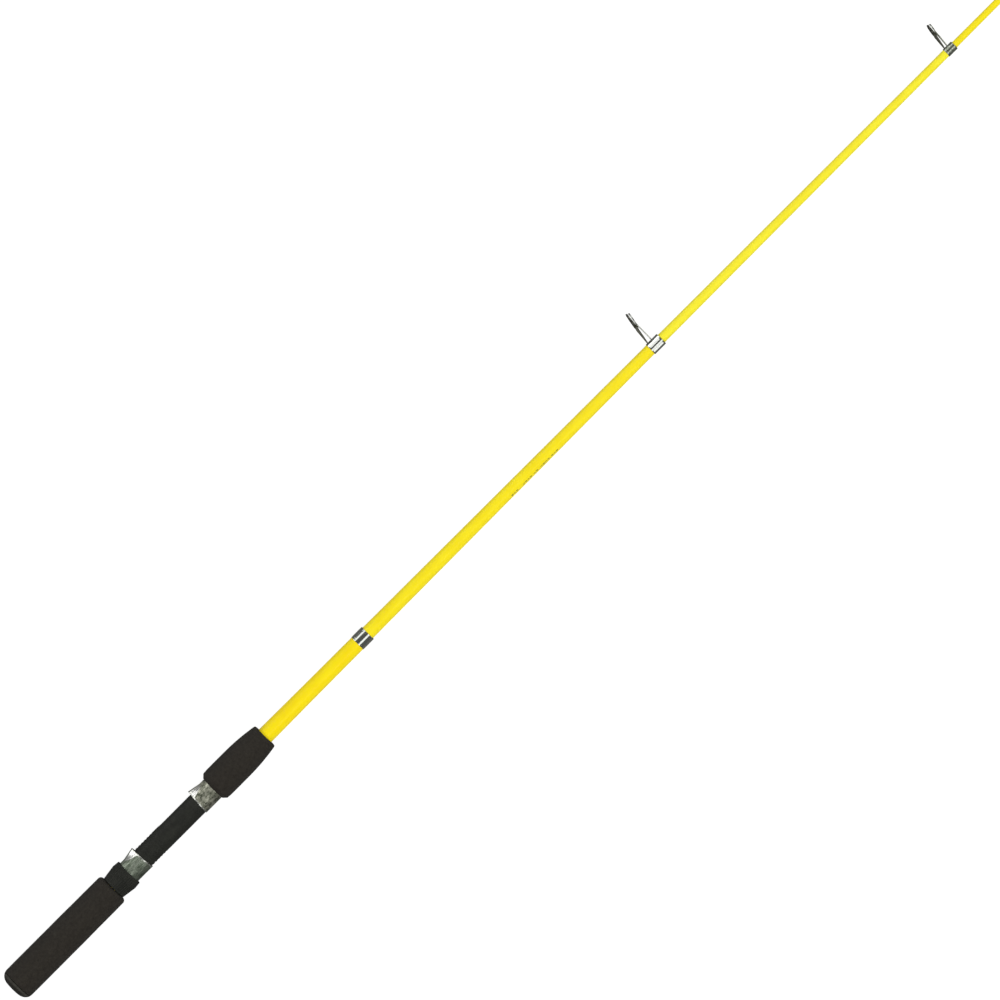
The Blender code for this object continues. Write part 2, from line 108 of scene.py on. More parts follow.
# Hoods. POCKET_TOP is half of the angle that a pocket's narrow top takes
HOOD_BORE = 9.4
HOOD_WALL = 0.48
HOOD_LIP = 1.5
POCKET_RISE = 1.95
POCKET_LENGTH = 10.5
POCKET_TOP = radians(20.0)

# Lock nut
NUT_CREST = 122.9
NUT_REAR_RADIUS = 10.5
NUT_FRONT_RADIUS = 11.65
NUT_COUNTERBORE = 10.2
NUT_SHOULDER = 124.2
NUT_GROOVES = 36.0
NUT_GROOVE_DEPTH = 0.42

# Blank of the handle, as (station, outer radius) along its length
HANDLE_BLANK = ((17.8, 7.0), (220.0, 7.0), (286.0, 6.9), (325.0, 6.65), (391.3, 6.4))
HANDLE_BORE = 6.05

# Guides. A ring's front and back are measured from the middle of the frame's plate, towards the butt and
# the tip. The stem steps towards the butt under the ring, and leans less than it
LEAN = radians(10.5)
PLATE = 0.9
RING_FRONT = -0.75
RING_BACK = 1.9
WALL = 0.45
WALL_DEPTH = 1.5
STEM_HALF_WIDTH = 1.4
STEM_SPREAD = radians(38.0)
STEM_STEP = 0.35
STEM_LEAN = radians(5.0)
BRACE_WIRE = 0.42
BRACE_SPREAD = radians(58.0)

# Points round each kind of mesh
AROUND = 96
AROUND_BARREL = 144
AROUND_NUT = 288
AROUND_HOOD = 192
AROUND_RING = 64
AROUND_FRAME = 180
AROUND_BRACE = 72

# About the longest edge along a tube and along a grip
TUBE_PITCH = 6.0
GRIP_PITCH = 1.5

# Light and deep colour of each section's lacquer, from the handle to the tip
LACQUERS = (
    ((0.95, 0.775, 0.002), (0.92, 0.69, 0.001)),
    ((0.94, 0.79, 0.010), (0.90, 0.72, 0.006)),
    ((0.93, 0.84, 0.034), (0.89, 0.77, 0.022)),
    ((0.93, 0.80, 0.012), (0.89, 0.73, 0.008)),
    ((0.93, 0.80, 0.012), (0.89, 0.73, 0.008)),
)


class Section:
    """One sliding section: the station and radius at which its tube leaves the section behind, the tube's
    radius at its own collar, and the radii of the hole in its guide's frame and of the ring's bore."""

    def __init__(self, name, guide, exposed, tip_radius, hole_radius, bore_radius):
        self.name = name
        self.guide = guide
        self.exposed, self.exposed_radius = exposed
        self.tip_radius = tip_radius
        self.hole_radius = hole_radius
        self.bore_radius = bore_radius

    def radius(self, x, collar_start):
        """Radius of the tube at a station. It tapers evenly towards its collar."""
        slope = (self.tip_radius - self.exposed_radius) / (collar_start - self.exposed)
        return self.exposed_radius + slope * (x - self.exposed)


SECTIONS = (
    Section("section_2", "guide_1", (392.1, 5.8), 4.7, 6.0, 5.2),
    Section("section_3", "guide_2", (716.3, 4.0), 3.3, 4.35, 3.7),
    Section("section_4", "guide_3", (1039.8, 2.8), 2.2, 3.75, 3.3),
    Section("section_5", "tip_top", (1362.0, 1.65), 0.95, 2.75, 2.2),
)


def span(node):
    """Lowest and highest corner of a node of the frame, in millimetres."""
    low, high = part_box(node)
    return low / MM, high / MM


# Materials

# Sockets of a Mix node: its share, then the two inputs and the output for colours and for numbers
SHARE = 0
COLOUR_A, COLOUR_B, COLOUR_MIX = 6, 7, 2
NUMBER_A, NUMBER_B, NUMBER_MIX = 2, 3, 0


class Surface:
    """A Principled material whose textures are laid out in the piece's own space, in millimetres."""

    def __init__(self, name, **sockets):
        self.material = bpy.data.materials.new(name)
        self.material.use_nodes = True
        self.tree = self.material.node_tree
        self.shader = self.tree.nodes["Principled BSDF"]
        for socket, value in sockets.items():
            self.shader.inputs[socket.replace("_", " ")].default_value = value
        self.place = self.add("ShaderNodeTexCoord").outputs["Object"]

    def add(self, kind, **settings):
        node = self.tree.nodes.new(kind)
        for setting, value in settings.items():
            setattr(node, setting, value)
        return node

    def link(self, source, target):
        self.tree.links.new(source, target)

    def along(self, axis):
        """The place along an axis, in metres."""
        node = self.add("ShaderNodeSeparateXYZ")
        self.link(self.place, node.inputs[0])
        return node.outputs[axis]

    def stretched(self, stretch=(1.0, 1.0, 1.0)):
        """The place in millimetres, with each axis stretched by its number."""
        node = self.add("ShaderNodeMapping")
        node.inputs["Scale"].default_value = [1.0 / MM / share for share in stretch]
        self.link(self.place, node.inputs["Vector"])
        return node.outputs["Vector"]

    def noise(self, size, detail=3.0, stretch=(1.0, 1.0, 1.0), roughness=0.55):
        """Noise whose features are about size millimetres across."""
        node = self.add("ShaderNodeTexNoise")
        node.inputs["Scale"].default_value = 1.0 / size
        node.inputs["Detail"].default_value = detail
        node.inputs["Roughness"].default_value = roughness
        self.link(self.stretched(stretch), node.inputs["Vector"])
        return node.outputs["Fac"]

    def cells(self, size):
        """Distance to the centre of cells about size millimetres across."""
        node = self.add("ShaderNodeTexVoronoi")
        node.inputs["Scale"].default_value = 1.0 / size
        self.link(self.stretched(), node.inputs["Vector"])
        return node.outputs["Distance"]

    def bands(self, pitch, distortion):
        """Fine uneven bands round the rod, one each pitch."""
        unscaled_pitch = 0.314
        node = self.add("ShaderNodeTexWave", wave_type="BANDS", bands_direction="X")
        node.inputs["Scale"].default_value = unscaled_pitch / pitch
        node.inputs["Distortion"].default_value = distortion
        node.inputs["Detail"].default_value = 1.0
        self.link(self.stretched(), node.inputs["Vector"])
        return node.outputs["Fac"]

    def ramp(self, source, values, low=0.3, high=0.7):
        """Maps low..high of a texture to the two values, grey or coloured. The range that is given here
        holds most of a noise."""
        node = self.add("ShaderNodeMapRange", clamp=True)
        node.inputs["From Min"].default_value = low
        node.inputs["From Max"].default_value = high
        self.link(source, node.inputs["Value"])
        if isinstance(values[0], tuple):
            return self.mixed(node.outputs["Result"], *values)
        node.inputs["To Min"].default_value = values[0]
        node.inputs["To Max"].default_value = values[1]
        return node.outputs["Result"]

    def product(self, first, second):
        node = self.add("ShaderNodeMath", operation="MULTIPLY")
        self.link(first, node.inputs[0])
        self.link(second, node.inputs[1])
        return node.outputs["Value"]

    def mixed(self, share, first, second):
        """The first colour, which turns into the second as the share grows to 1. Each is a plain colour
        or a texture."""
        mix = self.add("ShaderNodeMix", data_type="RGBA")
        self.link(share, mix.inputs[SHARE])
        for colour, socket in ((first, COLOUR_A), (second, COLOUR_B)):
            if isinstance(colour, tuple):
                mix.inputs[socket].default_value = (*colour, 1.0)
            else:
                self.link(colour, mix.inputs[socket])
        return mix.outputs[COLOUR_MIX]

    def paint(self, source, socket):
        self.link(source, self.shader.inputs[socket])

    def bump(self, layers):
        """Bump from (texture, depth in millimetres) layers, one on top of the other."""
        normal = None
        for source, depth in layers:
            node = self.add("ShaderNodeBump")
            node.inputs["Distance"].default_value = depth * MM
            self.link(source, node.inputs["Height"])
            if normal:
                self.link(normal, node.inputs["Normal"])
            normal = node.outputs["Normal"]
        self.link(normal, self.shader.inputs["Normal"])


def lacquer(name, light, deep):
    """Satin lacquer over coloured glass fibre, with the fine ridges of its wrapping tape."""
    surface = Surface(name, Roughness=0.45, Specular_IOR_Level=0.12, Coat_Weight=0.08, Coat_Roughness=0.1)
    cloud = surface.noise(7.0, detail=4.0, stretch=(3.0, 1.0, 1.0))
    surface.paint(surface.ramp(cloud, (deep, light)), "Base Color")
    ridges = surface.bands(1.6, distortion=0.6)
    surface.bump([(ridges, 0.004), (surface.noise(0.8, detail=2.0), 0.003)])
    return surface.material


def foam():
    """Closed-cell foam: matte warm black with fine pores and a faint mottle."""
    surface = Surface("eva_foam", Specular_IOR_Level=0.22)
    dark, pale = (0.0145, 0.0120, 0.0095), (0.0250, 0.0215, 0.0165)
    mottle = surface.noise(2.6, detail=5.0, roughness=0.7)
    surface.paint(surface.ramp(mottle, (dark, pale), 0.32, 0.68), "Base Color")
    surface.paint(surface.ramp(surface.noise(1.2), (0.72, 0.92)), "Roughness")
    pores = surface.ramp(surface.cells(0.55), (0.0, 1.0), 0.0, 0.45)
    swell = surface.noise(3.5, detail=2.0)
    surface.bump([(swell, 0.16), (pores, 0.10), (surface.noise(0.25, detail=2.0), 0.06)])
    return surface.material


def inner_foam():
    """Soft grey foam inside the rod."""
    surface = Surface("grey_foam", Specular_IOR_Level=0.2, Roughness=0.9)
    dark, pale = (0.16, 0.16, 0.16), (0.25, 0.25, 0.25)
    surface.paint(surface.ramp(surface.noise(1.5, detail=4.0), (dark, pale)), "Base Color")
    surface.bump([(surface.cells(0.6), 0.1)])
    return surface.material


def moulded_plastic():
    """Black moulded plastic with a fine matte grain."""
    surface = Surface("black_plastic", Specular_IOR_Level=0.15)
    dark, pale = (0.0110, 0.0116, 0.0096), (0.0180, 0.0186, 0.0150)
    surface.paint(surface.ramp(surface.noise(6.0, detail=4.0), (dark, pale)), "Base Color")
    surface.paint(surface.ramp(surface.noise(1.4, detail=4.0), (0.5, 0.68)), "Roughness")
    surface.bump([(surface.noise(0.35), 0.02), (surface.noise(4.0, detail=2.0), 0.03)])
    return surface.material


def painted_highlight_cap():
    """Warm black soft plastic of the butt cap, with a painted highlight: a paler, patchy ring where its
    curve is sharpest.
    """
    surface = Surface("cap_plastic", Specular_IOR_Level=0.2)
    dark, pale, highlight_colour = (0.0125, 0.0112, 0.0085), (0.0205, 0.0190, 0.0145), (0.055, 0.052, 0.044)
    # Painted highlight: a paler, smoother ring from about 2.6 to 5.3 millimetres along the cap, broken into
    # patches.
    station = surface.along("X")
    highlight_sets_in = surface.ramp(station, (0.0, 1.0), 2.6 * MM, 4.0 * MM)
    highlight_lasts = surface.ramp(station, (0.0, 1.0), 5.3 * MM, 4.6 * MM)
    highlight_patches = surface.ramp(surface.noise(1.6, detail=5.0, roughness=0.7), (0.25, 1.0), 0.35, 0.6)
    highlight_share = surface.product(surface.product(highlight_sets_in, highlight_lasts), highlight_patches)
    tone = surface.ramp(surface.noise(3.0, detail=4.0), (dark, pale))
    surface.paint(surface.mixed(highlight_share, tone, highlight_colour), "Base Color")
    surface.paint(surface.ramp(highlight_share, (0.72, 0.5), 0.0, 1.0), "Roughness")
    surface.bump([(surface.noise(0.35), 0.02), (surface.noise(2.5, detail=2.0), 0.04)])
    return surface.material


def pressed_steel(name, dark, pale, streak):
    """Thin plated sheet with ripples and clouded plating, and a painted highlight: paler, smoother metal
    where its mesh marks the pocket's sides. The clouds are longer along the rod by the streak."""
    surface = Surface(name, Metallic=1.0)
    highlight_metal = (0.88, 0.88, 0.85)
    tarnish = surface.noise(2.6, detail=6.0, stretch=(streak, 1.0, 1.0), roughness=0.66)
    clouded = surface.ramp(tarnish, (dark, pale), 0.38, 0.66)
    # Painted highlight: paler, smoother metal in patches, where the mesh's per-vertex share marks the
    # pocket's sides.
    painted_highlight = surface.add("ShaderNodeAttribute", attribute_name="painted_highlight").outputs["Fac"]
    patches = surface.ramp(surface.noise(1.5), (0.45, 1.0), 0.35, 0.45)
    bright = surface.product(painted_highlight, patches)
    surface.paint(surface.mixed(bright, clouded, highlight_metal), "Base Color")
    surface.paint(surface.ramp(bright, (0.56, 0.24), 0.0, 1.0), "Roughness")
    surface.bump([(surface.noise(2.6, detail=2.0), 0.06), (surface.noise(0.9), 0.02)])
    return surface.material


def chrome(name, dark, pale, roughness):
    """Clouded plating with a trace of fine scratches round it."""
    surface = Surface(name, Metallic=1.0)
    haze = surface.noise(1.5, detail=5.0, roughness=0.65)
    surface.paint(surface.ramp(haze, (dark, pale), 0.35, 0.7), "Base Color")
    surface.paint(surface.ramp(haze, roughness, 0.4, 0.75), "Roughness")
    ripples = surface.noise(1.5, detail=2.0)
    scratches = surface.noise(0.2, detail=2.0, stretch=(0.4, 5.0, 5.0))
    surface.bump([(ripples, 0.010), (scratches, 0.002)])
    return surface.material


def highlight_band():
    """Pale satin metal of the band round a line ring: a painted highlight, the bright gap behind the frame.
    """
    surface = Surface("highlight_band", Metallic=0.3)
    dark, pale = (0.80, 0.81, 0.78), (0.95, 0.95, 0.93)
    haze = surface.noise(0.8, detail=4.0)
    surface.paint(surface.ramp(haze, (dark, pale)), "Base Color")
    surface.paint(surface.ramp(haze, (0.4, 0.55)), "Roughness")
    surface.bump([(surface.noise(0.3, detail=2.0), 0.004)])
    return surface.material


def ceramic():
    """Dark polished ring of a guide."""
    surface = Surface("dark_ceramic", Specular_IOR_Level=0.35)
    dark, pale = (0.016, 0.016, 0.014), (0.034, 0.034, 0.03)
    surface.paint(surface.ramp(surface.noise(0.7, detail=4.0), (dark, pale)), "Base Color")
    surface.paint(surface.ramp(surface.noise(0.5), (0.26, 0.38)), "Roughness")
    surface.bump([(surface.noise(0.3, detail=2.0), 0.004)])
    return surface.material


def ink():
    """Dark print on the lacquer, thin enough to look faded by wear."""
    surface = Surface("dark_ink", Roughness=0.5)
    printed, thinned = (0.13, 0.13, 0.02), (0.42, 0.38, 0.02)
    surface.paint(surface.ramp(surface.noise(0.4), (printed, thinned), 0.35, 0.7), "Base Color")
    return surface.material


# Meshes

def filleted(corners, steps=5):
    """An outline with round corners. A corner is (x, radius) or (x, radius, fillet)."""
    most = 0.45  # the share of a side that a fillet may take
    outline = []
    for index, corner in enumerate(corners):
        point = Vector(corner[:2])
        if len(corner) < 3:
            outline.append((point.x, point.y))
            continue
        before = Vector(corners[index - 1][:2]) - point
        after = Vector(corners[(index + 1) % len(corners)][:2]) - point
        half = before.angle(after) / 2.0
        reach = min(corner[2] / tan(half), most * before.length, most * after.length)
        radius = reach * tan(half)
        centre = point + (before.normalized() + after.normalized()).normalized() * radius / sin(half)
        start = point + before.normalized() * reach - centre
        end = point + after.normalized() * reach - centre
        first = atan2(start.y, start.x)
        sweep = (atan2(end.y, end.x) - first + pi) % FULL_TURN - pi
        for step in range(steps + 1):
            angle = first + sweep * step / steps
            outline.append((centre.x + radius * cos(angle), centre.y + radius * sin(angle)))
    return outline


def densified(outline, pitch, closed=True):
    """The same outline with more points, so that its edges are about as long as the pitch or shorter."""
    dense = []
    following = outline[1:] + (outline[:1] if closed else [])
    for (x, r), (next_x, next_r) in zip(outline, following):
        pieces = max(1, round(((next_x - x) ** 2 + (next_r - r) ** 2) ** 0.5 / pitch))
        for step in range(pieces):
            dense.append((x + (next_x - x) * step / pieces, r + (next_r - r) * step / pieces))
    return dense if closed else dense + outline[-1:]


def turned(outline, around=AROUND, shape=None):
    """Rows of points round the X axis, one for each corner of the outline. shape(x, radius, angles)
    may return other stations and radii."""
    angles = np.arange(around) * FULL_TURN / around
    rows = []
    for x, radius in outline:
        stations, radii = np.full(around, x), np.full(around, radius)
        if shape and radius > 0.0:
            stations, radii = shape(stations, radii, angles)
        rows.append(np.stack((stations, radii * np.cos(angles), radii * np.sin(angles)), axis=1))
    return rows


def placed(rows, centre):
    """Rows moved from a guide's own frame, whose X is the ring's axis, to where the ring is."""
    turn = np.array(Matrix.Rotation(-LEAN, 3, "Z"))
    return [row @ turn.T + np.array(centre) for row in rows]


def make_mesh(name, rows, closed=True):
    """Mesh from rows of points. A row whose points coincide becomes one vertex, a pole."""
    coincident = 1e-9
    points, indices = [], []
    for row in rows:
        start = len(points)
        if np.ptp(row, axis=0).max() < coincident:
            points.append(row[0])
            indices.append([start] * len(row))
        else:
            points.extend(row)
            indices.append(list(range(start, start + len(row))))
    faces = []
    for row, following in zip(indices, indices[1:] + (indices[:1] if closed else [])):
        for step in range(len(row)):
            after = (step + 1) % len(row)
            corners = tuple(dict.fromkeys((row[step], row[after], following[after], following[step])))
            if len(corners) > 2:
                faces.append(corners)
    mesh = bpy.data.meshes.new(name)
    mesh.from_pydata([Vector(point) * MM for point in points], [], faces)
    return mesh


def piece(name, mesh, body, slot, material, *nodes, sharp=38.0):
    """Puts a fine mesh on its body, in place of the frame's nodes."""
    bm = bmesh.new()
    bm.from_mesh(mesh)
    bmesh.ops.recalc_face_normals(bm, faces=bm.faces)
    bm.to_mesh(mesh)
    bm.free()
    mesh.shade_smooth()
    mesh.set_sharp_from_angle(angle=radians(sharp))
    mesh.materials.append(material)
    obj = bpy.data.objects.new(name, mesh)
    bpy.context.collection.objects.link(obj)
    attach(obj, body)
    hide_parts(*nodes)
    return obj


# Handle

def butt_dome(start, end, steps):
    """Points along the rounded butt end, whose curve runs over the cap and on to the rear grip."""
    turns = [acos(1.0 - x / DOME_LENGTH) for x in (start, end)]
    points = []
    for turn in np.linspace(*turns, steps):
        rise = (GRIP_RADIUS - CAP_FACE_RADIUS) * sin(turn)
        points.append((DOME_LENGTH * (1.0 - cos(turn)), CAP_FACE_RADIUS + rise))
    return points


def make_butt_cap(material):
    low, high = span("butt_cap")
    grip_low, _ = span("rear_grip")
    seam = grip_low.x - TOUCH_GAP
    edge, run_out = 0.3, 0.8
    dome = butt_dome(low.x, seam - edge, 24)
    corners = [(low.x, 0.0), *dome, (seam, dome[-1][1] + 0.05, edge), (seam, PLUG_RADIUS, 0.2),
               (high.x, PLUG_RADIUS, 0.6), (high.x, PLUG_HOLLOW), (CAP_BASE, PLUG_HOLLOW), (CAP_BASE, 0.0)]
    outline = densified(filleted(corners, 6), 0.2, closed=False)

    def plug_thread(stations, radii, angles):
        """Right-hand thread with rounded crests, which fades out at the plug's ends."""
        turn = stations / PLUG_PITCH - angles / FULL_TURN
        fade = np.clip(np.minimum(stations - seam - run_out, high.x - run_out - stations), 0.0, 1.0)
        on_plug = (radii > (PLUG_HOLLOW + PLUG_RADIUS) / 2.0) & (stations > seam)
        depth = PLUG_THREAD_DEPTH * fade * (0.5 + 0.5 * np.cos(FULL_TURN * turn))
        return stations, np.where(on_plug, radii - depth, radii)

    rows = turned(outline, shape=plug_thread)
    piece("butt_cap_shell", make_mesh("butt_cap_shell", rows, closed=False), "butt_cap", "black_plastic",
          material, "butt_cap")


def make_grip(node, corners, steps, material):
    """Foam grip with the outline of the corners, whose fillets have that many steps."""
    outline = densified(filleted(corners, steps), GRIP_PITCH)
    mesh = make_mesh(f"{node}_foam", turned(outline, shape=foam_swell))
    obj = piece(f"{node}_foam", mesh, "handle", "black_foam", material, node)


def make_rear_grip(material):
    low, high = span("rear_grip")
    bore = HANDLE_BLANK[0][1] + GLUE_GAP
    edge = 0.4
    dome = butt_dome(low.x + edge, DOME_LENGTH, 6)
    corners = [(low.x, SOCKET_RADIUS), (low.x, dome[0][1] - 0.05, edge), *dome, (GRIP_TAPER_START, high.y),
               (high.x, GRIP_FRONT_RADIUS, GRIP_EDGE), (high.x, bore), (SOCKET_END, bore),
               (SOCKET_END, SOCKET_RADIUS)]
    make_grip("rear_grip", corners, 8, material)


def make_foregrip(material):
    low, high = span("foregrip")
    _, barrel_high = span("reel_seat_barrel")
    bore = HANDLE_BLANK[0][1] + GLUE_GAP
    socket = HOOD_BORE + HOOD_WALL + GLUE_GAP
    socket_end = barrel_high.x + TOUCH_GAP
    taper_end = high.x - FOREGRIP_EDGE
    bulge = 1.8  # the power with which the front half narrows
    corners = [(low.x, socket), (low.x, high.y - FOREGRIP_REAR_DROP, 0.4),
               (low.x + FOREGRIP_CHAMFER, high.y - 0.3, 1.2), (low.x + 2.5 * FOREGRIP_CHAMFER, high.y)]
    for share in np.linspace(0.0, 1.0, 13):
        corners.append((FOREGRIP_TAPER_START + share * (taper_end - FOREGRIP_TAPER_START),
                        high.y - FOREGRIP_DROP * share ** bulge))
    corners += [(high.x, high.y - FOREGRIP_DROP - 0.5, FOREGRIP_EDGE), (high.x, bore),
                (socket_end, bore), (socket_end, socket)]
    make_grip("foregrip", corners, 7, material)


def make_rattle_pad(material):
    """Foam plug inside the butt cap, with soft edges and a faint taper."""
    low, high = span("rattle_pad")
    taper = 0.3
    corners = [(low.x, 0.0), (low.x, high.y, 0.8), (high.x, high.y - taper, 1.2), (high.x, 0.0)]
    outline = densified(filleted(corners), 1.0, closed=False)
    mesh = make_mesh("rattle_pad_foam", turned(outline), closed=False)
    obj = piece("rattle_pad_foam", mesh, "rattle_pad", "grey_foam", material, "rattle_pad")


def foam_swell(stations, radii, angles):
    """Slow waves of less than a tenth of a millimetre, as sanded foam has."""
    depth = 0.04
    wave = np.sin(stations * 0.21 + 2.0 * np.sin(angles)) * np.cos(2.0 * angles + stations * 0.047)
    return stations, radii - depth * (1.0 + wave)


def seat_thread(stations, radii, angles):
    """Right-hand thread with rounded crests on the barrel's rear half, and the flat reel bed."""
    run_out, bed_reach, bed_slope, relief_slope = 5.0, 1.2, 3.5, 0.4
    turn = stations / THREAD_PITCH - angles / FULL_TURN
    crest = np.clip(0.5 - 0.85 * np.cos(FULL_TURN * turn), 0.0, 1.0)
    fade = np.clip((THREAD_END - stations) / run_out, 0.0, 1.0)
    on_outside = radii > BARREL_BORE + 0.3
    depth = THREAD_DEPTH * fade * (1.0 - crest)
    radii = np.where(on_outside, radii - depth, radii)
    from_ends = np.minimum(stations - BED_START + bed_reach, BED_END + bed_reach - stations)
    on_bed = np.clip(from_ends / bed_slope, 0.0, 1.0)
    facing = np.cos(angles)
    bed = BED_HEIGHT - BED_RELIEF * np.clip((stations - BED_HOOD_EDGE) / relief_slope, 0.0, 1.0)
    limit = np.where(facing > 0.5, bed / np.maximum(facing, 0.5), radii)
    cut = np.where(on_outside & (limit < radii), radii - limit, 0.0)
    return stations, radii - on_bed * cut


def make_barrel(material):
    low, high = span("reel_seat_barrel")
    corners = [(low.x, BARREL_BORE), (low.x, BARREL_RADIUS, 0.3), (high.x, BARREL_RADIUS, 0.4),
               (high.x, BARREL_BORE)]
    outline = densified(filleted(corners), 0.25, closed=False)
    mesh = make_mesh("seat_barrel", turned(outline, AROUND_BARREL, seat_thread))
    piece("seat_barrel", mesh, "handle", "black_plastic", material, "reel_seat_barrel", sharp=50.0)


def make_hood(node, body, facing, material, rim_material):
    """Sheet hood whose upper side swells to a pocket: a narrow top, and flat sides that run down to
    touch the round. Its mouth has a thin rolled bead. Facing is 1 where the mouth looks along +X and -1
    where it looks back."""
    low, high = span(node)
    length = high.x - low.x - HOOD_LIP
    back = low.x if facing > 0.0 else high.x
    angles = np.arange(AROUND_HOOD) * FULL_TURN / AROUND_HOOD
    off_top = np.abs(np.arctan2(np.sin(angles), np.cos(angles)))
    lip = HOOD_LIP * (1.0 - np.cos(angles)) / 2.0  # the mouth reaches further opposite the pocket

    def side_width(depth, radius):
        """Angle over which a side of the pocket runs, at a depth behind the mouth."""
        swell = POCKET_RISE * max(0.0, 1.0 - depth / POCKET_LENGTH)
        return acos(radius / (radius + swell))

    def row(depth, radius):
        stations = back + facing * (length + lip) * (1.0 - depth / length)
        width = side_width(depth, radius)
        radii = radius / np.cos(np.clip(POCKET_TOP + width - off_top, 0.0, width))
        return np.stack((stations, radii * np.cos(angles), radii * np.sin(angles)), axis=1)

    def highlight_at_depth(depth):
        """How much painted highlight the metal takes round the hood at a depth: the sides of the pocket, a
        little past where they touch the round, and less where they are narrow."""
        upper_fade, lower_fade, spill, full_width = (radians(angle) for angle in (2.0, 6.0, 9.0, 12.0))
        width = side_width(depth, HOOD_BORE)
        onto = np.clip((off_top - POCKET_TOP) / upper_fade, 0.0, 1.0)
        off = np.clip((POCKET_TOP + width + spill - off_top) / lower_fade, 0.0, 1.0)
        return onto * off * min(1.0, width / full_width)

    # Depth behind the mouth and rise over the bore, along the bead
    bead = 0.10
    outer = [(0.0, 0.10), (0.06, HOOD_WALL + bead * 0.6), (0.2, HOOD_WALL + bead),
             (0.5, HOOD_WALL + bead), (0.75, HOOD_WALL + bead * 0.5), (1.0, HOOD_WALL)]
    depths = list(np.linspace(1.4, length - 0.2, 32))
    rows = [row(depth, HOOD_BORE + rise) for depth, rise in outer]
    rows += [row(depth, HOOD_BORE + HOOD_WALL) for depth in depths]
    rows += [row(length, HOOD_BORE + HOOD_WALL - 0.15), row(length, HOOD_BORE)]
    rows += [row(depth, HOOD_BORE) for depth in reversed(depths)]
    rows += [row(0.3, HOOD_BORE)]
    obj = piece(f"{node}_sheet", make_mesh(f"{node}_sheet", rows), body, "polished_steel", material, node)
    # The bead's faces take the paler rim plating, a painted highlight along the mouth.
    obj.data.materials.append(rim_material)
    for polygon in obj.data.polygons[:AROUND_HOOD * (len(outer) - 1)]:
        polygon.material_index = 1
    # Share of painted highlight on each outer row, stored per vertex for the hood's material.
    painted_highlight = [highlight_at_depth(depth) for depth, _ in outer] + [highlight_at_depth(depth) for depth in depths]
    highlight_share = np.zeros(len(obj.data.vertices))
    highlight_share[:AROUND_HOOD * len(painted_highlight)] = np.concatenate(painted_highlight)
    obj.data.attributes.new("painted_highlight", "FLOAT", "POINT").data.foreach_set("value", highlight_share)


def knurl(stations, radii, angles):
    """Grooves along the nut, which fade out at its ends."""
    low, high = span("lock_nut")
    rear_margin, front_margin, run_out = 0.9, 1.0, 0.8
    inside = np.minimum(stations - low.x - rear_margin, high.x - front_margin - stations)
    fade = np.clip(inside / run_out, 0.0, 1.0)
    groove = np.clip(0.35 + 0.75 * np.cos(NUT_GROOVES * angles), 0.0, 1.0)
    on_outside = radii > NUT_COUNTERBORE + 0.15
    return stations, np.where(on_outside, radii - NUT_GROOVE_DEPTH * fade * groove, radii)


def make_nut(material):
    low, high = span("lock_nut")
    thread_gap = 0.15
    bore = BARREL_RADIUS + thread_gap
    corners = [(low.x, bore, 0.3), (low.x, NUT_REAR_RADIUS, 0.5), (NUT_CREST, high.y, 2.4),
               (high.x, NUT_FRONT_RADIUS, 0.45), (high.x, NUT_COUNTERBORE, 0.2),
               (NUT_SHOULDER, NUT_COUNTERBORE), (NUT_SHOULDER, bore)]
    outline = densified(filleted(corners, 6), 0.5)
    mesh = make_mesh("lock_nut_knurled", turned(outline, AROUND_NUT, knurl))
    piece("lock_nut_knurled", mesh, "lock_nut", "black_plastic", material, "lock_nut", sharp=50.0)


# Blanks, collars and guides

def make_handle_blank(material):
    low, high = span("section_1_blank")
    inner, _ = span("section_2_blank")
    section = SECTIONS[0]
    collar_start = span("guide_1_collar")[0].x
    bore = section.radius(inner.x, collar_start) + SLIDE_GAP
    throat = section.radius(high.x, collar_start) + SLIDE_GAP
    edge, flare = 0.1, 6.0
    corners = [*HANDLE_BLANK[:-1], (high.x, HANDLE_BLANK[-1][1], edge), (high.x, throat, edge),
               (inner.x, bore), (inner.x - flare, HANDLE_BORE), (low.x, HANDLE_BORE)]
    mesh = make_mesh("section_1_tube", turned(densified(filleted(corners, 3), TUBE_PITCH)))
    piece("section_1_tube", mesh, "handle", "yellow_lacquer", material, "section_1_blank")


def make_section_tube(section, following, material):
    node = f"{section.name}_blank"
    low, high = span(node)
    collar_start = span(collar_node(section))[0].x
    edge = 0.08
    corners = [(low.x, section.radius(low.x, collar_start), edge),
               (high.x, section.radius(high.x, collar_start), edge)]
    if following:
        inner, _ = span(f"{following.name}_blank")
        inner_collar = span(collar_node(following))[0].x
        bore = following.radius(inner.x, inner_collar) + SLIDE_GAP
        throat = following.radius(high.x, inner_collar) + SLIDE_GAP
        corners += [(high.x, throat, edge), (inner.x, bore), (low.x, bore, edge)]
    else:
        corners = [(low.x, 0.0), *corners, (high.x, 0.0)]
    outline = densified(filleted(corners, 3), TUBE_PITCH, closed=bool(following))
    mesh = make_mesh(f"{section.name}_tube", turned(outline, AROUND_RING), closed=bool(following))
    piece(f"{section.name}_tube", mesh, section.name, "yellow_lacquer", material, node)


def collar_node(section):
    return f"{section.guide}_tube" if section.guide == "tip_top" else f"{section.guide}_collar"


